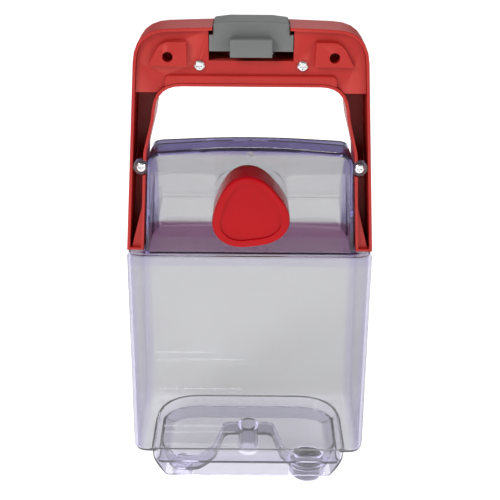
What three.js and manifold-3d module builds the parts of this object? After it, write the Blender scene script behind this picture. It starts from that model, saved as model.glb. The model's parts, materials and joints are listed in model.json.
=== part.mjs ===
// Removable solution tank of an upright carpet cleaner: a clear two-piece tank with a hooded fill
// recess, a screwed-on carrying handle with a sprung release latch, a fill cap and an outlet valve.
// Millimetres, +Z up. Origin: under the middle of the tank, at the height its feet stand on.
// +X is the tank's right and -Y is the side with the fill cap, called the near side here.

import * as THREE from 'three';
import { mergeVertices } from 'three/addons/utils/BufferGeometryUtils.js';
import Module from 'manifold-3d';

const wasm = await Module();
wasm.setup();

// ---- Driving dimensions ----

const gap = 0.3;               // clearance between touching pieces
const runningGap = 0.5;        // clearance round pieces that move

const bodyWidth = 200;         // across the shoulder
const baseFlare = 3;           // each side wall leans out by this towards the base
const bodyDepth = 130;         // near wall to far wall at the shoulder
const baseDepth = 112;         // near wall to far wall at the base
const bodyHeight = 199;
const bodyCorner = 14;
const bodyEdge = 6;
const wall = 2.5;              // wall of the clear mouldings

const footHeight = 16;         // the skirt hangs clear of the table by this
const footRadius = 9.6;
const keelHeight = 24;         // narrow lower part that drops into the machine's tray
const keelStep = 16;           // set-in of the keel from the body's side
const keelChamfer = 13;
const keelChamferHeight = 18;
const keelCorner = 12;
const keelFarCorner = 40;
const keelDepth = 90;          // near wall to the far wall of the keel
const heelRadius = 34;         // sweep of the far wall into the base

const ledge = 15.2;            // shoulder on which each handle leg stands
const hoodTaper = 5.7;         // each side of the hood leans in by this
const hoodHeight = 90;
const hoodCrown = 6.5;
const hoodCorner = 12;
const hoodSetback = 5;         // near edge of the hood behind the near wall
const hoodRoof = 23;           // level part of the hood's roof, front to back
const hoodWall = 3;
const recessDepth = 40;
const recessCove = 10;
const recessWallHeight = 52;
const farEave = 4;             // foot of the sloping roof in from the far wall

const ventDrop = 13;           // vent below the crown of the hood
const ventRadius = 1.5;
const ventHead = 2.6;

const neckHeight = 33.2;       // neck axis above the shoulder
const neckRadius = 24;
const neckBore = 21;
const neckLength = 28;
const neckBossRadius = 31;
const neckBossLift = 3;

const capLobe = 2.5;           // how far the three lobes stand out
const capRadius = 30.2;
const capTilt = 98;            // direction of the first lobe, degrees
const capDepth = 29;
const capSetback = 2;
const capDish = 1.4;

const handleHeight = 180;      // shoulder to the crown of the handle
const handleLean = 15;         // each side of the handle leans in by this, foot to crown
const handleCorner = 27;
const handleCrown = 3;
const handleDepth = 32;
const handleSetback = 6;
const handleWall = 2.4;
const gripHeight = 45;         // thickness of the cross-piece, crown to hand opening
const legWidth = 16;           // beside the top of the hand opening
const gripCorner = 20;
const legKneeHeight = 108;     // where the legs leave the hood's side, above the shoulder
const legKneeInset = 6.5;

const plateThickness = 2.5;    // cover plate of the handle
const plateRecess = 3;         // its face behind the handle's rim
const plateHeight = 50;        // lower edge of the plate below the crown
const lipEnd = 5;              // grip lip stops short of the opening's corner
const lipHeight = 8.6;
const lipRise = 2.6;

const latchHalf = 27.7;        // button, where it passes through the crown
const latchShoulder = 3;
const latchRise = 3;           // button above the crown
const latchCollarHeight = 12;
const latchTravel = 6;
const latchWall = 2.2;
const catchHalf = 15.3;
const catchHeight = 13;
const catchReach = 7;

const blockHalf = 13.8;        // locating blocks with a round socket
const blockHeight = 18;
const blockSpacing = 61;
const blockFoot = 6.7;         // lower edge of a block below its socket's axis
const blockRise = 4.5;
const blockHole = 3.9;
const blockDrop = 22.6;        // socket axis below the crown

const screwHeadRadius = 4;
const screwHeadHeight = 2.2;
const screwShankRadius = 1.5;
const screwLength = 18;
const coverScrewSpacing = 38;
const coverScrewDrop = 29.6;
const earRadius = 6.3;
const earThickness = 3;
const earInset = 0.5;          // ear axis in from the foot of the hood
const earHeight = 71;

const valveInset = 1.5;        // valve boss in from the keel's chamfer
const valveDepth = 25;         // valve axis behind the near wall
const valveBore = 12.5;
const valveFlangeLip = 2.1;
const poppetRadius = 7.6;
const stemRadius = 2.6;
const knobRadius = 7.8;

const tubHeight = 12.5;        // sump below the deck of the base
const lobeDepth = 8;           // near end of each sump lobe behind the near wall
const lobeOffset = 1;          // middle of each lobe outside the valve's axis
const lobeHalf = 11;
const archHalf = 22;
const archDepth = 59;

const springWire = 0.9;
const latchSpringRadius = 4;
const valveSpringRadius = 5.4;

// ---- Levels and planes that follow from them ----

const nearY = -bodyDepth / 2;
const keelZ = footHeight;
const bodyZ = keelZ + keelHeight;
const shoulderZ = bodyZ + bodyHeight;
const roofZ = shoulderZ + hoodHeight;
const crownZ = shoulderZ + handleHeight;
const hoodHalf = bodyWidth / 2 - ledge;
const neckZ = shoulderZ + neckHeight;
const earZ = shoulderZ + earHeight;
const keelHalf = bodyWidth / 2 + baseFlare - keelStep;
const deckZ = keelZ + tubHeight;
const handleShoulderHalf = bodyWidth / 2 - handleLean;
const gripHalf = handleShoulderHalf - legWidth;
const lipHalf = gripHalf - lipEnd;
const valveFlange = valveBore + valveFlangeLip;
const valveBoss = valveFlange + gap + wall;
const valveX = keelHalf - keelChamfer - valveInset - valveBoss;
const lobeSpacing = valveX + lobeOffset;
const earSpacing = hoodHalf - earInset;

const depthAt = (distance) => nearY + distance;

// ---- Shape helpers ----

// A corner is [x, y, radius], listed counter-clockwise.
function outline(corners) {
  const shape = new THREE.Shape();
  corners.forEach(([x, y, radius = 0], i) => {
    const corner = new THREE.Vector2(x, y);
    const before = new THREE.Vector2(...corners.at(i - 1)).sub(corner);
    const after = new THREE.Vector2(...corners[(i + 1) % corners.length]).sub(corner);
    const half = Math.abs(before.angleTo(after)) / 2;
    const reach = radius > 0 ? radius / Math.tan(half) : 0;
    const start = before.setLength(reach).add(corner);
    const end = after.setLength(reach).add(corner);
    if (i === 0) shape.moveTo(start.x, start.y);
    else shape.lineTo(start.x, start.y);
    if (reach > 0) shape.quadraticCurveTo(x, y, end.x, end.y);
  });
  shape.closePath();
  return shape;
}

// The same corners moved in by a distance, or out when it is negative.
function inset(corners, distance) {
  return corners.map(([x, y, radius = 0], i) => {
    const [px, py] = corners.at(i - 1);
    const [nx, ny] = corners[(i + 1) % corners.length];
    const a = new THREE.Vector2(x - px, y - py).normalize();
    const b = new THREE.Vector2(nx - x, ny - y).normalize();
    const turn = a.cross(b);
    const share = distance / (1 + a.dot(b));
    const moved = radius > 0 ? Math.max(radius - Math.sign(turn) * distance, 0) : 0;
    return [x - (a.y + b.y) * share, y + (a.x + b.x) * share, moved];
  });
}

const mirrored = (half) => [...half, ...half.map(([x, y, r]) => [-x, y, r]).reverse()];

function rectangle(x0, x1, y0, y1, radius = 0) {
  return [[x0, y0, radius], [x1, y0, radius], [x1, y1, radius], [x0, y1, radius]];
}

function slab(corners, thickness, edge = 0, steps = 6) {
  const geometry = new THREE.ExtrudeGeometry(outline(corners), {
    depth: thickness - 2 * edge,
    curveSegments: steps,
    bevelEnabled: edge > 0,
    bevelSize: edge,
    bevelThickness: edge,
    bevelOffset: -edge,
    bevelSegments: 2,
  });
  return geometry.translate(0, 0, edge);
}

function solid(geometry) {
  const bare = new THREE.BufferGeometry();
  bare.setAttribute('position', geometry.getAttribute('position').clone());
  if (geometry.index) bare.setIndex(geometry.index.clone());
  const merged = mergeVertices(bare, 1e-3);
  return new wasm.Manifold(new wasm.Mesh({
    numProp: 3,
    vertProperties: new Float32Array(merged.getAttribute('position').array),
    triVerts: new Uint32Array(merged.index.array),
  }));
}

// Corners are (x, y) for alongZ, (x, z) for alongY and (depth behind the near wall, z) for alongX.
const alongZ = (corners, z0, z1, edge) => solid(slab(corners, z1 - z0, edge).translate(0, 0, z0));

const alongY = (corners, d0, d1, edge) =>
  solid(slab(corners, d1 - d0, edge).rotateX(Math.PI / 2).translate(0, depthAt(d1), 0));

function alongX(corners, x0, x1, edge) {
  const turned = new THREE.Matrix4().makeBasis(
    new THREE.Vector3(0, 1, 0), new THREE.Vector3(0, 0, 1), new THREE.Vector3(1, 0, 0));
  return solid(slab(corners, x1 - x0, edge).applyMatrix4(turned).translate(x0, nearY, 0));
}

const box = (x0, x1, d0, d1, z0, z1) => alongZ(rectangle(x0, x1, depthAt(d0), depthAt(d1)), z0, z1);

// A closed profile of [radius, height], turned about an upright axis.
function turned(profile, segments = 28) {
  const points = [...profile, profile[0]].map(([r, z]) => new THREE.Vector2(r, z));
  return new THREE.LatheGeometry(points, segments).rotateX(Math.PI / 2);
}

const turnedAt = (profile, x, depth, z, segments) =>
  solid(turned(profile, segments).translate(x, depthAt(depth), z));

// The same about an axis that points to the near side, so height is measured towards it.
const turnedNear = (profile, x, depth, z, segments) =>
  solid(turned(profile, segments).rotateX(Math.PI / 2).translate(x, depthAt(depth), z));

const disc = (radius, height) => [[0, 0], [radius, 0], [radius, height], [0, height]];

const ring = (inner, outer, z0, z1) => [[inner, z0], [outer, z0], [outer, z1], [inner, z1]];

const postNear = (radius, x, z, d0, d1, segments = 24) =>
  turnedNear(disc(radius, d1 - d0), x, d1, z, segments);

const post = (radius, x, depth, z0, z1, segments = 24) =>
  turnedAt(disc(radius, z1 - z0), x, depth, z0, segments);

function coil(radius, wire, height, turns, x, depth, z) {
  class Helix extends THREE.Curve {
    getPoint(t, target = new THREE.Vector3()) {
      const angle = 2 * Math.PI * turns * t;
      const rise = wire / 2 + (height - wire) * t;
      return target.set(radius * Math.cos(angle), radius * Math.sin(angle), rise);
    }
  }
  const section = new THREE.Shape().absarc(0, 0, wire / 2, 0, 2 * Math.PI);
  const geometry = new THREE.ExtrudeGeometry(section, {
    extrudePath: new Helix(), steps: turns * 10, curveSegments: 3, bevelEnabled: false,
  });
  return solid(geometry.translate(x, depthAt(depth), z));
}

function bent(geometry, move) {
  const position = geometry.getAttribute('position');
  const point = new THREE.Vector3();
  for (let i = 0; i < position.count; i += 1) {
    move(point.fromBufferAttribute(position, i));
    position.setXYZ(i, point.x, point.y, point.z);
  }
  return geometry;
}

// ---- Materials ----

function finish(color, roughness, metalness = 0, opacity = 1) {
  return new THREE.MeshStandardMaterial({
    color, roughness, metalness, opacity, transparent: opacity < 1,
  });
}

const clear = finish(0xc9c8dc, 0.06, 0, 0.35);
const red = finish(0xc01c18, 0.42);
const capRed = finish(0xd00f12, 0.25);
const grey = finish(0x6f7270, 0.55);
const steel = finish(0xc8c8cc, 0.25, 1);
const rubber = finish(0x22232c, 0.7);
const white = finish(0xd8d8d8, 0.4);

const tank = new THREE.Group();

function piece(name, shape, material, origin = [0, 0, 0]) {
  const { vertProperties, triVerts } = shape.getMesh();
  const geometry = new THREE.BufferGeometry();
  geometry.setAttribute('position', new THREE.BufferAttribute(new Float32Array(vertProperties), 3));
  geometry.setIndex(new THREE.BufferAttribute(new Uint32Array(triVerts), 1));
  geometry.translate(-origin[0], -origin[1], -origin[2]);
  geometry.computeVertexNormals();
  const mesh = new THREE.Mesh(geometry, material);
  mesh.name = name;
  mesh.position.set(...origin);
  tank.add(mesh);
}

// ---- Clear tank body: shoulders, hood with the fill recess, and the keel's skirt ----

// Side view of the body: its far wall sweeps into the base.
const heelSide = [
  [-bodyEdge, bodyZ, 0],
  [baseDepth, bodyZ, heelRadius],
  [bodyDepth, shoulderZ, 0],
  [bodyDepth, shoulderZ + bodyEdge, 0],
  [-bodyEdge, shoulderZ + bodyEdge, 0],
];

// Upright walls that lean: wider and shallower towards the base.
function bodyBlock(distance) {
  const half = bodyWidth / 2;
  const plan = inset(rectangle(-half, half, nearY, nearY + bodyDepth, bodyCorner), distance);
  const height = bodyHeight - 2 * distance;
  const block = slab(plan, height, bodyEdge - distance).translate(0, 0, bodyZ + distance);
  const leaning = solid(bent(block, (point) => {
    const down = (shoulderZ - point.z) / bodyHeight;
    point.x *= 1 + (baseFlare / half) * down;
    point.y = nearY + (point.y - nearY) * (1 + (baseDepth / bodyDepth - 1) * down);
  }));
  return leaning.intersect(alongX(inset(heelSide, distance), -bodyWidth, bodyWidth));
}

const keelFace = mirrored([
  [keelHalf - keelChamfer, keelZ, 5],
  [keelHalf, keelZ + keelChamferHeight, 4],
  [keelHalf, bodyZ + bodyEdge, 0],
]);

function keelBlock(distance, low) {
  const face = inset(keelFace, distance);
  face[0][1] = low;
  face[face.length - 1][1] = low;
  const plan = [
    [-keelHalf, nearY, keelCorner],
    [keelHalf, nearY, keelCorner],
    [keelHalf, nearY + keelDepth, keelFarCorner],
    [-keelHalf, nearY + keelDepth, keelFarCorner],
  ];
  return alongY(face, 0, keelDepth)
    .intersect(alongZ(inset(plan, distance), low - 1, bodyZ + 2 * bodyEdge));
}

const hoodFoot = shoulderZ - bodyEdge - wall;

const hoodFace = [
  [-hoodHalf, hoodFoot, 0],
  [hoodHalf, hoodFoot, 0],
  [hoodHalf - hoodTaper, roofZ - hoodCrown, hoodCorner],
  [0, roofZ, 500],
  [-hoodHalf + hoodTaper, roofZ - hoodCrown, hoodCorner],
];

const hoodSide = [
  [hoodSetback, hoodFoot, 0],
  [bodyDepth - farEave, hoodFoot, 0],
  [bodyDepth - farEave, shoulderZ + 3, 8],
  [hoodSetback + hoodRoof, roofZ + 1, 14],
  [hoodSetback, roofZ + 1, 0],
];

const hoodBlock = (distance, edge) =>
  alongY(inset(hoodFace, distance), hoodSetback + distance, bodyDepth - distance, edge)
    .intersect(alongX(inset(hoodSide, distance), -bodyWidth / 2, bodyWidth / 2));

const beyond = -hoodWall * 4;

const recessSide = [
  [beyond, shoulderZ, 0],
  [recessDepth, shoulderZ, recessCove],
  [recessDepth, shoulderZ + recessWallHeight, recessCove],
  [recessDepth / 2, roofZ + hoodWall, 0],
  [beyond, roofZ + hoodWall, 0],
];

// The recess itself, or with a distance the wall that stands round it.
function recess(distance) {
  const plan = rectangle(-hoodHalf + hoodWall, hoodHalf - hoodWall,
    depthAt(beyond - recessCove), depthAt(recessDepth), recessCove);
  return alongX(inset(recessSide, -distance), -bodyWidth, bodyWidth)
    .intersect(alongZ(inset(plan, -distance), shoulderZ - distance, roofZ + 2 * hoodWall));
}

const recessCut = recess(0).intersect(alongY(inset(hoodFace, hoodWall), beyond, recessDepth));
const hoodHollow = hoodBlock(wall).subtract(recess(wall));
const ears = [-1, 1].map((side) =>
  postNear(earRadius, side * earSpacing, earZ, handleSetback + 2, handleSetback + 2 + earThickness));
const neckTube = postNear(neckRadius, 0, neckZ, recessDepth - neckLength, recessDepth + wall, 36);
const neckBoss = postNear(neckBossRadius, 0, neckZ, recessDepth - neckBossLift, recessDepth + wall, 36);
const neckHole = postNear(neckBore, 0, neckZ, 0, recessDepth + neckBossRadius / 2, 36);
const ventZ = roofZ - ventDrop;
const ventHole = postNear(ventRadius, 0, ventZ, 0, recessDepth - recessCove / 2, 16);

let body = bodyBlock(0).add(keelBlock(0, keelZ)).add(hoodBlock(0, hoodWall - 0.5)).subtract(recessCut);
body = body.add(neckTube).add(neckBoss.intersect(recess(wall)));
body = body.subtract(bodyBlock(wall)).subtract(keelBlock(wall, keelZ - wall));
body = body.subtract(hoodHollow).subtract(neckHole).subtract(ventHole);
for (const side of [0, 1]) {
  const x = (2 * side - 1) * earSpacing;
  body = body.add(ears[side]);
  body = body.subtract(postNear(screwShankRadius + gap, x, earZ, 0, handleDepth, 16));
}
piece('tank_body', body, clear);

// ---- Clear base: a deck across the keel with the lobed sump, feet and valve boss below it ----

const deckLimits = keelBlock(wall + gap, keelZ);
const archMouth = 8;
const sumpPlan = mirrored([
  [archHalf, archDepth, 8],
  [archHalf + archMouth, lobeDepth + 16, 14],
  [lobeSpacing - lobeHalf, lobeDepth, 14],
  [lobeSpacing + lobeHalf, lobeDepth, 16],
  [keelHalf, archDepth - 22, 16],
  [keelHalf, keelDepth, 0],
]).map(([x, depth, r]) => [x, depthAt(depth), r]);

const sump = alongZ(sumpPlan, keelZ, deckZ + wall).intersect(deckLimits);
const sumpHollow = alongZ(inset(sumpPlan, wall), keelZ + wall, deckZ + 2 * wall)
  .intersect(keelBlock(2 * wall + gap, keelZ));
const bossTop = keelZ - 2;

// A hollow foot is [x, depth, top]: one under the left lobe, one under the arch of the deck.
const feet = [[-valveX - 6, valveDepth - 3.5, keelZ + wall], [0, archDepth - 1, deckZ + wall]];

let base = deckLimits.intersect(box(-bodyWidth, bodyWidth, 0, bodyDepth, deckZ, deckZ + wall));
base = base.add(sump).subtract(sumpHollow);
for (const [x, depth, top] of feet) {
  base = base.add(post(footRadius, x, depth, 0, top, 28));
  base = base.subtract(post(footRadius - wall, x, depth, wall, top + wall, 28));
}
base = base.add(post(valveBoss, valveX, valveDepth, 0, keelZ + wall, 36));
base = base.subtract(post(valveBore, valveX, valveDepth, -1, bossTop + 1, 36));
base = base.subtract(post(valveFlange + gap, valveX, valveDepth, bossTop, deckZ, 36));
piece('tank_base', base, clear);

// ---- Outlet valve: housing, gasket, sprung poppet with its seal, retainer and knob ----

const housingRadius = valveBore - gap;
const housingFloor = 3;
const housingZ = 1;
const gasketZ = bossTop + gap;
const gasketHeight = 1.2;
const flangeZ = gasketZ + gasketHeight + gap;
const flangeHeight = 2;
const housingTop = flangeZ + flangeHeight;
const cupRadius = housingRadius - wall;
const throat = 5;
const seatZ = housingZ + housingFloor;
const poppetSealZ = seatZ + gap;
const poppetZ = poppetSealZ + 1.6 + gap;
const poppetTop = poppetZ + 2.2;
const retainerZ = housingTop - 2.4;
const retainerHeight = 1.8;
const knobZ = housingTop + 0.6;

piece('valve_housing', turnedAt([
  [throat, housingZ], [housingRadius, housingZ], [housingRadius, flangeZ], [valveFlange, flangeZ],
  [valveFlange, housingTop], [cupRadius, housingTop], [cupRadius, seatZ], [throat, seatZ],
], valveX, valveDepth, 0), white);
piece('valve_gasket', turnedAt(
  ring(housingRadius + gap, valveFlange, gasketZ, gasketZ + gasketHeight), valveX, valveDepth, 0), rubber);
piece('valve_retainer', turnedAt(
  ring(stemRadius + runningGap, cupRadius - gap, retainerZ, retainerZ + retainerHeight),
  valveX, valveDepth, 0), white);
piece('valve_poppet', turnedAt([
  [0, housingZ + 0.5], [stemRadius, housingZ + 0.5], [stemRadius, poppetZ], [poppetRadius, poppetZ],
  [poppetRadius, poppetTop], [stemRadius, poppetTop], [stemRadius, knobZ], [0, knobZ],
], valveX, valveDepth, 0), white);
piece('valve_poppet_seal', turnedAt(
  ring(stemRadius + gap, poppetRadius - 0.4, poppetSealZ, poppetZ - gap), valveX, valveDepth, 0), rubber);
piece('valve_spring', coil(valveSpringRadius, springWire, retainerZ - poppetTop - 2 * gap, 3,
  valveX, valveDepth, poppetTop + gap), steel);

const dome = Array.from({ length: 7 }, (_, i) => {
  const angle = (i / 6) * Math.PI / 2;
  return [knobRadius * Math.cos(angle), knobZ + gap + 1.5 + 6 * Math.sin(angle)];
});
piece('valve_knob', turnedAt(
  [[0, knobZ + gap], [knobRadius - 1, knobZ + gap], ...dome.slice(0, -1), [0, dome.at(-1)[1]]],
  valveX, valveDepth, 0, 32), rubber);

// ---- Fill cap: three-lobed cap, the plug it turns on, and the plug's seal ----

const capBack = capSetback + capDepth;
const neckEnd = recessDepth - neckLength;
const sealThickness = 2;
const plugFlange = 2.2;
const plugStart = neckEnd - gap - sealThickness - gap - plugFlange;

function lobed(distance) {
  const points = Array.from({ length: 54 }, (_, i) => {
    const angle = (i / 54) * 2 * Math.PI;
    const lobes = capLobe * Math.cos(3 * (angle - THREE.MathUtils.degToRad(capTilt)));
    const radius = capRadius + lobes - distance;
    return [radius * Math.cos(angle), neckZ + radius * Math.sin(angle), 0];
  });
  return points;
}

const capCavity = neckRadius + 1.6;
const cap = alongY(lobed(0), capSetback, capBack, 2.4)
  .subtract(alongY(lobed(6.5), capSetback - 1, capSetback + capDish))
  .subtract(postNear(capCavity, 0, neckZ, plugStart - gap, capBack + 1, 36));
piece('fill_cap', cap, capRed);
piece('cap_plug', turnedNear([
  [neckBore - gap - wall, -10], [neckBore - gap, -10], [neckBore - gap, 0],
  [neckRadius, 0], [neckRadius, plugFlange], [0, plugFlange], [0, 0], [neckBore - gap - wall, 0],
], 0, plugStart + plugFlange, neckZ, 36), grey);
piece('cap_seal', turnedNear(
  ring(neckBore + gap, neckRadius, 0, sealThickness), 0, neckEnd - gap, neckZ, 36), rubber);

// ---- Vent in the recess wall above the cap ----

// The wall leans out towards the roof, so the head of the plug stands clear of it all round.
const lean = (recessDepth / 2) / (roofZ + hoodWall - shoulderZ - recessWallHeight);
const ventFace = recessDepth - lean * (ventZ + ventHead - shoulderZ - recessWallHeight) - gap;
const ventPlug = postNear(ventRadius - gap, 0, ventZ, ventFace - 1, ventFace + 7, 16)
  .add(postNear(ventHead, 0, ventZ, ventFace - 1.6, ventFace, 20));
piece('vent_plug', ventPlug, white);

// ---- Handle: a U-shaped channel, open to the near side, that straddles the hood ----

const legOuterHalf = bodyWidth / 2 - 1;
const legInnerHalf = hoodHalf + runningGap;
const legZ = shoulderZ + gap;
const openingZ = crownZ - gripHeight;
const legInnerTop = legInnerHalf - hoodTaper;

const handleFace = [
  [legOuterHalf, legZ, 0],
  [handleShoulderHalf, crownZ - handleCrown, handleCorner],
  [0, crownZ, 400],
  [-handleShoulderHalf, crownZ - handleCrown, handleCorner],
  [-legOuterHalf, legZ, 0],
  [-legInnerHalf, legZ, 0],
  [-legInnerTop, roofZ - hoodCrown, 20],
  [-legInnerTop + legKneeInset, shoulderZ + legKneeHeight, 60],
  [-gripHalf, openingZ, gripCorner],
  [gripHalf, openingZ, gripCorner],
  [legInnerTop - legKneeInset, shoulderZ + legKneeHeight, 60],
  [legInnerTop, roofZ - hoodCrown, 20],
  [legInnerHalf, legZ, 0],
];

const handleBack = handleSetback + handleDepth;
const handleChannel = inset(handleFace, handleWall);
const latchSlot = box(-latchHalf - runningGap, latchHalf + runningGap,
  0, handleBack - 2 * handleWall, crownZ - 3 * handleWall, crownZ + 5);
const webFace = handleBack - handleWall;

let shell = alongY(handleFace, handleSetback, handleBack, 1)
  .subtract(alongY(handleChannel, 0, webFace));

const screwEnd = handleSetback + plateRecess + screwLength + 2;

// Sloping web in the foot of each leg, and the post that the tank's ear is screwed to.
const webTop = earZ - 14;
for (const side of [-1, 1]) {
  const web = side > 0
    ? [[legInnerHalf, legZ, 0], [legOuterHalf - 3.5, legZ, 0], [legInnerTop + 0.5, webTop, 0]]
    : [[-legInnerHalf, legZ, 0], [-legInnerTop - 0.5, webTop, 0], [-legOuterHalf + 3.5, legZ, 0]];
  const keepIn = alongY(handleFace, handleSetback, handleBack, 1);
  shell = shell.add(alongY(web, handleSetback + 3, handleSetback + 3 + handleWall).intersect(keepIn));
  const earFace = handleSetback + 2 + earThickness;
  shell = shell.add(postNear(4.6, side * (earSpacing + 1), earZ, earFace + gap, webFace + 1));
  shell = shell.subtract(postNear(earRadius + gap, side * earSpacing, earZ, 0, earFace + gap, 28));
  shell = shell.subtract(postNear(screwShankRadius + 0.1, side * earSpacing, earZ, 0, screwEnd, 16));
}

// Posts behind the two cover screws.
const plateFace = handleSetback + plateRecess;
const plateBack = plateFace + plateThickness;
const coverScrewZ = crownZ - coverScrewDrop;
for (const side of [-1, 1]) {
  shell = shell.add(postNear(4.6, side * coverScrewSpacing, coverScrewZ, plateBack + gap, webFace + 1));
  shell = shell.subtract(
    postNear(screwShankRadius + 0.1, side * coverScrewSpacing, coverScrewZ, 0, screwEnd, 16));
}
shell = shell.subtract(latchSlot).subtract(alongY(inset(hoodFace, -runningGap), 0, bodyDepth));
piece('handle_shell', shell, red);

// ---- Cover plate in the handle: grip lip, locating blocks, screw wells and latch pocket ----

const pocketHalf = latchHalf + latchShoulder + runningGap;
const pocketTop = crownZ - handleCrown - handleWall - gap - 1;
const collarTop = pocketTop - gap;
const collarZ = collarTop - latchCollarHeight;
const pocketZ = collarZ - latchTravel - 1;
const plateArea = alongY(inset(handleFace, handleWall + gap), 0, handleBack)
  .intersect(box(-bodyWidth, bodyWidth, -5, handleBack, crownZ - plateHeight, crownZ));

let plate = plateArea.intersect(box(-bodyWidth, bodyWidth, plateFace, plateBack, 0, crownZ));
const pocketBack = webFace - gap - 1;
const pocketWalls = box(-pocketHalf - 2, pocketHalf + 2, plateFace, pocketBack, pocketZ - 2, pocketTop);
const pocketRoom = box(-pocketHalf, pocketHalf, plateFace - 9, pocketBack + 1, pocketZ, crownZ + 1);
plate = plate.add(pocketWalls.intersect(plateArea)).subtract(pocketRoom);

const lip = alongY(rectangle(-lipHalf, lipHalf, openingZ - 4, openingZ + lipHeight, 5),
  plateFace - lipRise, plateBack, 1.2);
plate = plate.add(lip.intersect(plateArea));

const socketZ = crownZ - blockDrop;
for (const side of [-1, 1]) {
  const inner = blockSpacing - blockHalf;
  const outer = blockSpacing + blockHalf;
  const face = [
    [inner, socketZ - blockFoot, 0], [outer + 1, socketZ - blockFoot, 0],
    [outer - 9, socketZ + blockHeight - blockFoot, 12], [inner, socketZ + blockHeight - blockFoot, 0],
  ];
  const placed = side > 0 ? face : face.map(([x, z, r]) => [-x, z, r]).reverse();
  const block = alongY(placed, plateFace - blockRise, plateBack, 0.6);
  plate = plate.add(block.intersect(plateArea));
  plate = plate.subtract(postNear(blockHole, side * blockSpacing, socketZ, 0, plateBack + 1, 28));
  const socket = postNear(
    blockHole + 1.6, side * blockSpacing, socketZ, plateBack - 0.5, plateBack + 9, 28);
  const socketBore = postNear(blockHole, side * blockSpacing, socketZ, 0, plateBack + 7, 28);
  plate = plate.add(socket.subtract(socketBore));
  plate = plate.subtract(
    postNear(screwShankRadius + gap, side * coverScrewSpacing, coverScrewZ, 0, plateBack + 5, 16));
}
piece('handle_cover', plate, red);

// ---- Screws: heads on the near side, pan-shaped with a cross recess ----

function screw(name, x, z, seatDepth) {
  const head = turnedNear([
    [0, -screwLength], [screwShankRadius - 0.3, -screwLength], [screwShankRadius, -screwLength + 2],
    [screwShankRadius, gap], [screwHeadRadius, gap], [screwHeadRadius, 1.2],
    [screwHeadRadius - 1.1, screwHeadHeight], [0, screwHeadHeight],
  ], x, seatDepth, z, 20);
  const slot = (w, h) => box(x - w, x + w, 0, seatDepth - 1, z - h, z + h);
  piece(name, head.subtract(slot(2.1, 0.4)).subtract(slot(0.4, 2.1)), steel, [x, depthAt(seatDepth), z]);
}

screw('cover_screw_left', -coverScrewSpacing, coverScrewZ, plateFace);
screw('cover_screw_right', coverScrewSpacing, coverScrewZ, plateFace);
screw('tank_screw_left', -earSpacing, earZ, handleSetback + 2);
screw('tank_screw_right', earSpacing, earZ, handleSetback + 2);

// ---- Release latch: button in the crown, the catch on its near face and two springs ----

const collarHalf = latchHalf + latchShoulder;
const buttonTop = crownZ + latchRise;
const buttonNear = handleSetback + 2;
const buttonBack = handleBack - 2 * handleWall - runningGap;
const buttonFace = mirrored([
  [collarHalf, collarZ, 0],
  [collarHalf, collarTop, 0],
  [latchHalf, collarTop, 0],
  [latchHalf, buttonTop - 1.5, 2.5],
  [latchHalf - 12, buttonTop, 20],
]);
const buttonHollow = inset(buttonFace, latchWall);
const button = alongY(buttonFace, buttonNear, buttonBack, 0.8)
  .subtract(alongY(buttonHollow, buttonNear + latchWall, buttonBack - latchWall))
  .subtract(box(-collarHalf + latchWall, collarHalf - latchWall,
    buttonNear + latchWall, buttonBack - latchWall, 0, collarTop - 1));
piece('latch_button', button, grey);
piece('latch_catch', alongY(
  rectangle(-catchHalf, catchHalf, collarZ - 3, collarZ - 3 + catchHeight),
  buttonNear - gap - catchReach + 1, buttonNear - gap, 0.5), grey);

const springDepth = (buttonNear + buttonBack) / 2;
const springTop = buttonTop - latchWall - 2.2;
for (const [name, x] of [['latch_spring_left', -14], ['latch_spring_right', 14]]) {
  piece(name, coil(latchSpringRadius, springWire, springTop - pocketZ - 2 * gap, 6,
    x, springDepth, pocketZ + gap), steel);
}

export default tank;
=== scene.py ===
"""Clear solution tank of a carpet cleaner with its red handle, latch, fill cap and outlet valve.

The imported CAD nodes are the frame. Every node is copied, its facets merged and its edges rounded, and
the copy stands for the node. The printed level marks are added here.
"""

import json
import math

import bmesh
import bpy
from mathutils import Matrix, Vector


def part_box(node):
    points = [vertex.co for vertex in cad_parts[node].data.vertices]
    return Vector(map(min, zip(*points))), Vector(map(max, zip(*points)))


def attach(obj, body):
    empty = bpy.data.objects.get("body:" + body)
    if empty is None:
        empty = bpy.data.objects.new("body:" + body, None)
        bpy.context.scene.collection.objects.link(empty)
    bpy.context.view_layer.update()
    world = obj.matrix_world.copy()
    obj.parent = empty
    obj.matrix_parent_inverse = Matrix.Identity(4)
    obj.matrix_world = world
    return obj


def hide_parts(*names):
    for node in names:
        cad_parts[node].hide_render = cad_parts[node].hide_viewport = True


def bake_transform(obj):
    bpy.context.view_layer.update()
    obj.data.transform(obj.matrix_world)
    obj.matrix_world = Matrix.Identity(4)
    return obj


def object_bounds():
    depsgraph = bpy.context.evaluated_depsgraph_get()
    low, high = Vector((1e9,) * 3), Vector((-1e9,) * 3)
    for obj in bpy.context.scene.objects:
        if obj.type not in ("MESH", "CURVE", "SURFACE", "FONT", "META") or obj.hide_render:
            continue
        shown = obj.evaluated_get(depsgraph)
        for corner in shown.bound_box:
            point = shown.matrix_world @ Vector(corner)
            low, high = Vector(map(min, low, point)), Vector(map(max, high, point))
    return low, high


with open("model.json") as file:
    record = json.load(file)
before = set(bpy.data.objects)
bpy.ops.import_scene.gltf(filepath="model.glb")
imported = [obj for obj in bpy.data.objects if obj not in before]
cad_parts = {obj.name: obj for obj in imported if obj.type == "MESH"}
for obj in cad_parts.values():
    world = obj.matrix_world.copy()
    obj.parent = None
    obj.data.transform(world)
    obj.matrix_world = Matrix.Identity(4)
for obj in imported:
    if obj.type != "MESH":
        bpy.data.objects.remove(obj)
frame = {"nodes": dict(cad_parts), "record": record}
cad_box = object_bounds()

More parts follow.
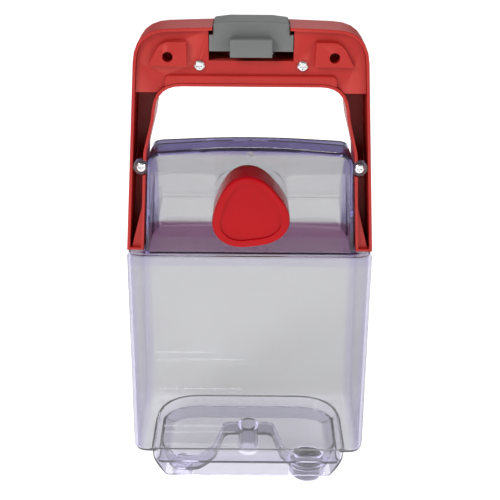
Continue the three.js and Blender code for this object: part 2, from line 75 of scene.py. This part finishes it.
MM = 0.001
WALL = 2.5 * MM                # wall of the clear mouldings
INK_GLOW = 0.60                # the ink glows: painted light, standing in for light that comes through the wall
FLOOR_GLOW = 0.85
KEEL_CREASE = (38.5 * MM, 44.5 * MM, 2.4 * MM)  # lowest, highest and rounding of the keel's top crease


# ---- Shader helper ----

class Value:
    """A node socket that takes part in Python arithmetic."""

    def __init__(self, graph, socket):
        self.graph = graph
        self.socket = socket

    def _math(self, operation, a, b):
        return self.graph.node("ShaderNodeMath", {"operation": operation}, {0: a, 1: b})

    def __add__(self, other):
        return self._math("ADD", self, other)

    __radd__ = __add__

    def __sub__(self, other):
        return self._math("SUBTRACT", self, other)

    def __rsub__(self, other):
        return self._math("SUBTRACT", other, self)

    def __mul__(self, other):
        return self._math("MULTIPLY", self, other)

    __rmul__ = __mul__


def pick(sockets, key):
    """A socket by its number, its identifier or its name."""
    if isinstance(key, int):
        return sockets[key]
    return next((socket for socket in sockets if socket.identifier == key), None) or sockets[key]


class Graph:
    """A material's node tree, with the surface shader already in it."""

    def __init__(self, name):
        self.material = bpy.data.materials.new(name)
        self.material.use_nodes = True
        self.tree = self.material.node_tree
        self.shader = self.tree.nodes["Principled BSDF"]
        self.output = self.tree.nodes["Material Output"]

    def node(self, kind, settings=None, inputs=None, output=0):
        """Adds a node. Sockets are told by their number, their identifier or their name."""
        made = self.tree.nodes.new(kind)
        for key, value in (settings or {}).items():
            setattr(made, key, value)
        for key, value in (inputs or {}).items():
            self.put(pick(made.inputs, key), value)
        return Value(self, pick(made.outputs, output))

    def put(self, socket, value):
        if isinstance(value, Value):
            self.tree.links.new(value.socket, socket)
        else:
            socket.default_value = value

    def surface(self, **values):
        """Sets the surface shader's sockets: base_color is its Base Color, and so on."""
        for key, value in values.items():
            self.put(self.shader.inputs[key.replace("_", " ").title()], value)

    def constant(self, socket, value):
        self.shader.inputs[socket].default_value = value

    def place(self, scale=(1.0, 1.0, 1.0)):
        spot = self.node("ShaderNodeTexCoord", output="Object")
        return self.node("ShaderNodeMapping", {}, {"Vector": spot, "Scale": scale})

    def noise(self, scale, detail=3.0, roughness=0.55, stretch=(1.0, 1.0, 1.0)):
        return self.node("ShaderNodeTexNoise", {}, {
            "Vector": self.place(stretch), "Scale": scale, "Detail": detail, "Roughness": roughness,
        }, output="Fac")

    def ramp(self, value, low, high):
        """Nought below low, one above high, and even in between."""
        return self.node("ShaderNodeMapRange", {"clamp": True}, {
            "Value": value, "From Min": low, "From Max": high,
        }, output="Result")

    def mix(self, factor, a, b):
        """Colour a where the factor is nought, and colour b where it is one."""
        return self.node("ShaderNodeMix", {"data_type": "RGBA"}, {
            "Factor_Float": factor, "A_Color": a, "B_Color": b,
        }, output="Result_Color")

    def bump(self, height, depth, strength=1.0):
        return self.node("ShaderNodeBump", {}, {
            "Height": height, "Distance": depth, "Strength": strength,
        }, output="Normal")


def rgb(red, green, blue):
    return (red, green, blue, 1.0)


# ---- Materials ----

def moulded(name, light, dark, rough, grain, depth, wear=None, shine=0.35):
    """Spark-eroded plastic: a fine even grain, slow colour drift, handling marks and pale worn edges."""
    graph = Graph(name)
    drift = graph.ramp(graph.noise(14.0, 4.0), 0.35, 0.65)
    colour = graph.mix(drift, dark, light)
    scuffs = graph.ramp(graph.noise(90.0, 6.0, 0.7, (1.0, 1.0, 0.25)), 0.58, 0.72)
    if wear:
        edge = graph.node("ShaderNodeNewGeometry", output="Pointiness")
        worn = graph.ramp(edge, 0.53, 0.60) * (0.35 + 0.65 * graph.noise(60.0))
        colour = graph.mix(worn * 0.55, colour, wear)
    grit = graph.noise(grain, 2.0, 0.6)
    graph.surface(
        base_color=colour,
        roughness=rough + 0.10 * drift - 0.07 * scuffs,
        normal=graph.bump(grit, depth * MM, 0.6),
    )
    graph.constant("Specular IOR Level", shine)
    graph.constant("IOR", 1.49)
    return graph.material


def band(graph, value, low_end, high_end, soft):
    """One between the two ends, fading to nothing over the soft distance outside them."""
    rise = graph.ramp(value, low_end - soft, low_end)
    fall = graph.ramp(value, high_end + soft, high_end)
    return rise * fall


def axes_of(graph):
    """The three object coordinates, and the distance from the middle plane."""
    spot = graph.node("ShaderNodeTexCoord", output="Object")
    x, y, z = (graph.node("ShaderNodeSeparateXYZ", {}, {0: spot}, output=name) for name in "XYZ")
    side = graph.node("ShaderNodeMath", {"operation": "ABSOLUTE"}, {0: x})
    return x, y, z, side


def clear_plastic(name, tint, density):
    """Clear moulded plastic: smoky flats, with painted shade in violet where the wall is seen edge-on.

    The shade is painted on the hood's rim and cheeks, the upright corners, the edge of the shoulder and
    the skirt. The ledge of the recess gets painted shade and the painted red of the handle seen through
    it, and the tank's floor is painted paler as painted light. A faint ring on the near wall is the
    witness of the mould's gate.
    """
    graph = Graph(name)
    low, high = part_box("tank_body")
    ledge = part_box("handle_shell")[0][2]
    near, half, crown = low[1], high[0], high[2]
    x, y, z, side = axes_of(graph)

    # Masks of the places where light and shade are painted into the colour.
    front = near - 20 * MM
    rim = (band(graph, z, crown - 12 * MM, crown + 5 * MM, 4 * MM)
           * band(graph, y, front, near + 34 * MM, 4 * MM))
    cheeks = (band(graph, side, half - 27 * MM, half - 17 * MM, 2 * MM)
              * band(graph, z, ledge, crown, 4 * MM)
              * band(graph, y, front, near + 40 * MM, 4 * MM))
    painted_ledge_mask = (band(graph, z, ledge - 2 * MM, ledge + 9 * MM, 3 * MM)
             * band(graph, y, near + 5 * MM, near + 46 * MM, 3 * MM)
             * band(graph, side, -10 * MM, half - 18 * MM, 2 * MM))
    corners = (band(graph, side, half - 5 * MM, half + 5 * MM, 6 * MM)
               * band(graph, z, 0.0, ledge - 4 * MM, 4 * MM))
    skirt = band(graph, z, low[2] - 10 * MM, low[2] + 20 * MM, 8 * MM)
    shoulder = (band(graph, z, ledge - 10 * MM, ledge + 2 * MM, 2 * MM)
                * band(graph, y, near, near + 6 * MM, 2 * MM))
    floor = band(graph, z, -10 * MM, 40 * MM, 4 * MM)

    smoke, dull_smoke = rgb(0.665, 0.670, 0.666), rgb(0.630, 0.631, 0.634)
    pale, violet, painted_ledge_plum, painted_edge_lilac = (rgb(0.84, 0.84, 0.85), rgb(0.36, 0.31, 0.58),
                                 rgb(0.24, 0.115, 0.21), rgb(0.42, 0.38, 0.62))
    haze = graph.ramp(graph.noise(22.0, 4.0), 0.45, 0.75)
    scratches = graph.ramp(graph.noise(160.0, 5.0, 0.6, (1.0, 1.0, 0.12)), 0.62, 0.70)
    colour = graph.mix(haze * 0.5, smoke, dull_smoke)
    # Painted light: the plastic is painted paler over the tank's floor, near the bottom.
    colour = graph.mix(floor, colour, pale)
    # Painted shade: violet on the hood's rim and cheeks, where the wall is seen edge-on.
    colour = graph.mix(0.9 * rim + 0.75 * cheeks, colour, violet)
    # Painted shade and the painted red of the handle seen through it, on the ledge of the recess.
    colour = graph.mix(0.95 * painted_ledge_mask, colour, painted_ledge_plum)
    # Painted shade: light violet on the upright corners, the skirt and the edge of the shoulder.
    colour = graph.mix(0.45 * corners + 0.25 * skirt + 0.25 * shoulder, colour, painted_edge_lilac)

    gate_x, gate_z = 36 * MM, 178 * MM
    from_gate = (x - gate_x) * (x - gate_x) + (z - gate_z) * (z - gate_z)
    witness = (band(graph, from_gate, 230 * MM * MM, 270 * MM * MM, 30 * MM * MM)
               * band(graph, y, near - 1 * MM, near + 4 * MM, 1 * MM))
    ripple = graph.noise(9.0, 2.0) + 0.05 * witness
    graph.surface(
        base_color=colour,
        roughness=0.02 + 0.05 * haze + 0.06 * scratches,
        normal=graph.bump(ripple, 0.9 * MM, 0.4),
    )
    graph.constant("Transmission Weight", 0.95)
    graph.constant("IOR", 1.46)
    absorb = graph.node("ShaderNodeVolumeAbsorption", {}, {"Color": tint, "Density": density})
    graph.put(graph.output.inputs["Volume"], absorb)
    return graph.material


def metal(name, colour, rough, grain_scale, stretch):
    """Plated or drawn steel with fine lines and small dull patches."""
    graph = Graph(name)
    patches = graph.ramp(graph.noise(240.0, 4.0), 0.40, 0.70)
    lines = graph.noise(grain_scale, 2.0, 0.5, stretch)
    graph.surface(
        base_color=graph.mix(patches * 0.35, colour, rgb(0.42, 0.41, 0.40)),
        roughness=rough + 0.16 * patches,
        metallic=1.0,
        normal=graph.bump(lines, 0.02 * MM, 0.5),
    )
    return graph.material


def rubber(name, colour, rough):
    """Moulded rubber with dust in its pores."""
    graph = Graph(name)
    dust = graph.ramp(graph.noise(120.0, 5.0, 0.65), 0.50, 0.80)
    pores = graph.noise(900.0, 2.0)
    graph.surface(
        base_color=graph.mix(dust * 0.30, colour, rgb(0.16, 0.16, 0.17)),
        roughness=rough + 0.15 * dust,
        normal=graph.bump(pores, 0.03 * MM, 0.6),
    )
    return graph.material


def printed(name):
    """White pad-printed ink, slightly broken where the print is thin."""
    graph = Graph(name)
    thin = graph.ramp(graph.noise(420.0, 4.0, 0.7), 0.42, 0.60)
    graph.surface(
        base_color=graph.mix(thin, rgb(0.88, 0.88, 0.92), rgb(0.95, 0.95, 0.97)),
        roughness=0.45 + 0.2 * thin,
        alpha=0.50 + 0.40 * thin,
        emission_color=graph.mix(thin, rgb(0.90, 0.90, 0.95), rgb(1.0, 1.0, 1.0)),
    )
    # Painted light: the ink glows, standing in for light that comes through the wall.
    graph.constant("Emission Strength", INK_GLOW)
    return graph.material


MATERIALS = {
    "clear_plastic": clear_plastic("clear_violet_plastic", rgb(0.56, 0.48, 0.80), 24.0),
    "handle_plastic": moulded("handle_red", rgb(0.45, 0.018, 0.013), rgb(0.38, 0.013, 0.010),
                              0.38, 1500.0, 0.06, wear=rgb(0.66, 0.09, 0.07)),
    "cap_plastic": moulded("cap_red", rgb(0.45, 0.001, 0.005), rgb(0.39, 0.001, 0.004),
                           0.16, 260.0, 0.012, shine=0.16),
    "grey_plastic": moulded("latch_grey", rgb(0.16, 0.168, 0.163), rgb(0.125, 0.13, 0.127),
                            0.50, 1300.0, 0.09, wear=rgb(0.30, 0.31, 0.30)),
    "white_plastic": moulded("valve_white", rgb(0.56, 0.55, 0.60), rgb(0.47, 0.46, 0.51),
                             0.30, 700.0, 0.02),
    "rubber": rubber("seal_rubber", rgb(0.022, 0.022, 0.026), 0.62),
    "dark_rubber": rubber("knob_rubber", rgb(0.006, 0.007, 0.030), 0.22),
    "spring_steel": metal("spring_wire", rgb(0.66, 0.66, 0.68), 0.20, 900.0, (1.0, 1.0, 0.2)),
    "screw_steel": metal("zinc_plate", rgb(0.78, 0.78, 0.80), 0.18, 700.0, (1.0, 1.0, 1.0)),
}
INK = printed("level_ink")
SLOTS = {row["node"]: row["material_slot"] for row in frame["record"]["subparts"]}
FIXED_END_IS_LOW = {"latch_spring_left": True, "latch_spring_right": True, "valve_spring": False}
BODY_OF = {node: body for body, nodes in frame["record"]["behaviour"]["bodies"].items() for node in nodes}


# ---- Pieces made from the CAD nodes ----

def apply_modifiers(piece):
    depsgraph = bpy.context.evaluated_depsgraph_get()
    mesh = bpy.data.meshes.new_from_object(piece.evaluated_get(depsgraph))
    piece.modifiers.clear()
    piece.data = mesh


def compress(piece):
    """Bakes a spring's placement into its mesh; the spring is given to no body."""
    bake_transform(piece)


def dress(piece, node):
    """Gives a finished copy its material and, unless it is a spring, its body, and hides the node it
    stands for.
    """
    piece.data.materials.clear()
    piece.data.materials.append(MATERIALS[SLOTS[node]])
    if node in FIXED_END_IS_LOW:
        compress(piece)
    else:
        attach(piece, BODY_OF[node])
    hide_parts(node)


def smooth_by_angle(mesh, degrees):
    graph = bmesh.new()
    graph.from_mesh(mesh)
    limit = math.radians(degrees)
    for edge in graph.edges:
        edge.smooth = len(edge.link_faces) == 2 and edge.calc_face_angle(0.0) < limit
    for face in graph.faces:
        face.smooth = True
    graph.to_mesh(mesh)
    graph.free()


def soften(graph, low, high, width):
    """Rounds the creases that lie between two heights."""
    creases = [edge for edge in graph.edges if len(edge.link_faces) == 2
               and edge.calc_face_angle(0.0) > math.radians(35.0)
               and all(low < vert.co.z < high for vert in edge.verts)]
    bmesh.ops.bevel(graph, geom=creases, offset=width, segments=4, profile=0.5, affect="EDGES",
                    clamp_overlap=True)


def refined(node, round_mm, angle=40.0, segments=3):
    """A copy of a node with its facets merged, its sharp edges rounded and its curves shaded smooth."""
    source = frame["nodes"][node]
    piece = bpy.data.objects.new(f"{node}_fine", source.data.copy())
    bpy.context.scene.collection.objects.link(piece)
    piece.matrix_world = Matrix.Identity(4)
    graph = bmesh.new()
    graph.from_mesh(piece.data)
    bmesh.ops.remove_doubles(graph, verts=graph.verts, dist=2e-6)
    bmesh.ops.dissolve_limit(graph, angle_limit=math.radians(0.6), verts=graph.verts, edges=graph.edges)
    if node == "tank_body":
        soften(graph, *KEEL_CREASE)
    graph.to_mesh(piece.data)
    graph.free()
    if round_mm > 0:
        bevel = piece.modifiers.new("round", "BEVEL")
        bevel.width = round_mm * MM
        bevel.segments = segments
        bevel.limit_method = "ANGLE"
        bevel.angle_limit = math.radians(angle)
        bevel.harden_normals = False
        apply_modifiers(piece)
    smooth_by_angle(piece.data, angle)
    even = piece.modifiers.new("even", "WEIGHTED_NORMAL")  # keeps the flats flat beside the rounding
    even.mode = "FACE_AREA"
    even.weight = 80
    even.keep_sharp = True
    apply_modifiers(piece)
    dress(piece, node)


# Width of the rounding on each node's sharp edges, in mm.
ROUNDING = {
    "tank_body": 1.1, "tank_base": 0.5, "handle_shell": 0.45, "handle_cover": 0.4, "fill_cap": 1.5,
    "latch_button": 0.5, "latch_catch": 0.35, "valve_housing": 0.3, "valve_retainer": 0.2,
    "cap_plug": 0.3, "cover_screw_left": 0.15, "cover_screw_right": 0.15, "tank_screw_left": 0.15,
    "tank_screw_right": 0.15, "valve_poppet": 0.2, "vent_plug": 0.2,
}

for node_name in frame["nodes"]:
    refined(node_name, ROUNDING.get(node_name, 0.0))


# ---- Printed level marks on the near wall ----

def stroke_row(material):
    """A row of printed strokes: thin upright plates along X, each a little longer or shorter."""
    tree = bpy.data.node_groups.new("stroke_row", "GeometryNodeTree")
    tree.interface.new_socket("Geometry", in_out="OUTPUT", socket_type="NodeSocketGeometry")
    for name, kind in (("Count", "Int"), ("Pitch", "Float"), ("Width", "Float"), ("Height", "Float"),
                       ("Ink", "Float"), ("Seed", "Int")):
        tree.interface.new_socket(name, in_out="INPUT", socket_type=f"NodeSocket{kind}")
    add = tree.nodes.new
    link = tree.links.new
    sizes = add("NodeGroupInput")
    result = add("NodeGroupOutput")
    line = add("GeometryNodeMeshLine")
    step = add("ShaderNodeCombineXYZ")
    link(sizes.outputs["Count"], line.inputs["Count"])
    link(sizes.outputs["Pitch"], step.inputs["X"])
    link(step.outputs[0], line.inputs["Offset"])
    vary = add("FunctionNodeRandomValue")
    vary.data_type = "FLOAT"
    ends = [socket for socket in vary.inputs if socket.type == "VALUE" and socket.enabled]
    ends[0].default_value = 0.55
    ends[1].default_value = 1.0
    link(sizes.outputs["Seed"], vary.inputs["Seed"])
    height = add("ShaderNodeMath")
    height.operation = "MULTIPLY"
    link(sizes.outputs["Height"], height.inputs[0])
    link(vary.outputs["Value"], height.inputs[1])
    stretch = add("ShaderNodeCombineXYZ")
    link(sizes.outputs["Width"], stretch.inputs["X"])
    link(sizes.outputs["Ink"], stretch.inputs["Y"])
    link(height.outputs[0], stretch.inputs["Z"])
    plate = add("GeometryNodeMeshCube")
    place = add("GeometryNodeInstanceOnPoints")
    link(line.outputs["Mesh"], place.inputs["Points"])
    link(plate.outputs["Mesh"], place.inputs["Instance"])
    link(stretch.outputs[0], place.inputs["Scale"])
    real = add("GeometryNodeRealizeInstances")
    link(place.outputs[0], real.inputs[0])
    paint = add("GeometryNodeSetMaterial")
    paint.inputs["Material"].default_value = material
    link(real.outputs[0], paint.inputs["Geometry"])
    link(paint.outputs["Geometry"], result.inputs["Geometry"])
    return tree


def level_marks():
    """Four fill levels, with rows of fine strokes beside them, printed inside the near wall."""
    low, _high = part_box("tank_body")
    ink = 0.05 * MM
    behind_wall = low[1] + WALL + ink
    tree = stroke_row(INK)
    # name, strokes, pitch, width, height, middle of the first stroke (x, z), all in mm
    rows = (
        ("upper_level", 1, 1.0, 43.0, 0.8, -28.0, 139.0),
        ("upper_row", 30, 1.75, 0.65, 2.6, -78.0, 146.0),
        ("upper_second_row", 15, 1.75, 0.65, 2.6, -77.0, 138.5),
        ("upper_water_level", 1, 1.0, 49.0, 0.7, -31.5, 109.0),
        ("upper_water_row", 9, 1.75, 0.65, 2.6, -76.0, 109.0),
        ("lower_level", 1, 1.0, 34.0, 0.7, -28.5, 63.0),
        ("lower_row", 30, 1.75, 0.65, 2.6, -74.0, 69.5),
        ("lower_second_row", 15, 1.75, 0.65, 2.6, -73.0, 62.5),
        ("lower_water_level", 1, 1.0, 42.0, 0.7, -32.5, 49.5),
        ("lower_water_row", 9, 1.75, 0.65, 2.6, -73.0, 49.5),
    )
    print_mesh = bmesh.new()
    for seed, (name, count, pitch, width, height, x, z) in enumerate(rows):
        holder = bpy.data.objects.new(name, bpy.data.meshes.new(name))
        bpy.context.scene.collection.objects.link(holder)
        modifier = holder.modifiers.new("strokes", "NODES")
        modifier.node_group = tree
        values = {"Count": count, "Pitch": pitch * MM, "Width": width * MM, "Height": height * MM,
                  "Ink": ink, "Seed": seed}
        for item in tree.interface.items_tree:
            if item.in_out == "INPUT":
                modifier[item.identifier] = values[item.name]
        depsgraph = bpy.context.evaluated_depsgraph_get()
        baked = bpy.data.meshes.new_from_object(holder.evaluated_get(depsgraph))
        baked.transform(Matrix.Translation((x * MM, behind_wall, z * MM)))
        print_mesh.from_mesh(baked)
        bpy.data.objects.remove(holder)
    mesh = bpy.data.meshes.new("level_marks")
    print_mesh.to_mesh(mesh)
    print_mesh.free()
    mesh.materials.append(INK)
    piece = bpy.data.objects.new("level_marks", mesh)
    bpy.context.scene.collection.objects.link(piece)
    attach(piece, "tank")


level_marks()


# ---- Room, light and camera ----

def room():
    floor = bpy.data.objects.new("floor", bpy.data.meshes.new("floor"))
    graph = bmesh.new()
    bmesh.ops.create_grid(graph, x_segments=1, y_segments=1, size=4.0)
    graph.to_mesh(floor.data)
    graph.free()
    bpy.context.scene.collection.objects.link(floor)
    graph = Graph("pale_floor")
    mottle = graph.noise(3.0, 3.0)
    graph.surface(
        base_color=graph.mix(mottle, rgb(0.90, 0.90, 0.905), rgb(0.93, 0.93, 0.935)),
        roughness=0.75 + 0.1 * mottle,
        emission_color=graph.mix(mottle, rgb(0.97, 0.97, 0.98), rgb(1.0, 1.0, 1.0)),
    )
    graph.constant("Emission Strength", FLOOR_GLOW)
    floor.data.materials.append(graph.material)


def sky(strength):
    world = bpy.data.worlds.new("studio")
    bpy.context.scene.world = world
    world.use_nodes = True
    background = world.node_tree.nodes["Background"]
    background.inputs["Color"].default_value = rgb(1.0, 1.0, 1.0)
    background.inputs["Strength"].default_value = strength


def softbox(name, place, target, size, watts):
    light = bpy.data.lights.new(name, "AREA")
    light.shape = "RECTANGLE"
    light.size, light.size_y = size
    light.energy = watts
    lamp = bpy.data.objects.new(name, light)
    lamp.location = place
    lamp.rotation_euler = (Vector(target) - Vector(place)).to_track_quat("-Z", "Y").to_euler()
    bpy.context.scene.collection.objects.link(lamp)


def camera():
    """Looks down at the near side, from the middle, at the height of the shoulder."""
    low, _high = cad_box
    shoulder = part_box("handle_shell")[0][2]
    pitch = math.radians(26.0)
    lens = 1.8
    distance = 0.72
    data = bpy.data.cameras.new("camera")
    data.lens = lens * data.sensor_width
    data.shift_x = 0.0008
    data.shift_y = 0.009
    eye = bpy.data.objects.new("camera", data)
    forward = Vector((0.0, math.cos(pitch), -math.sin(pitch)))
    target = Vector((0.0, low[1], shoulder))
    turn = forward.to_track_quat("-Z", "Y").to_matrix().to_4x4()
    roll = Matrix.Rotation(math.radians(0.45), 4, "Z")
    eye.matrix_world = Matrix.Translation(target - forward * distance) @ turn @ roll
    bpy.context.scene.collection.objects.link(eye)
    bpy.context.scene.camera = eye


room()
sky(0.26)
softbox("key", (-0.9, -1.0, 1.3), (0.0, 0.0, 0.25), (0.5, 0.6), 14.0)
softbox("fill", (1.1, -0.8, 0.8), (0.0, 0.0, 0.25), (0.4, 0.7), 4.5)
softbox("rim", (0.2, 1.3, 1.4), (0.0, 0.0, 0.3), (1.0, 0.5), 6.0)
camera()
bpy.context.scene.view_settings.view_transform = "Standard"
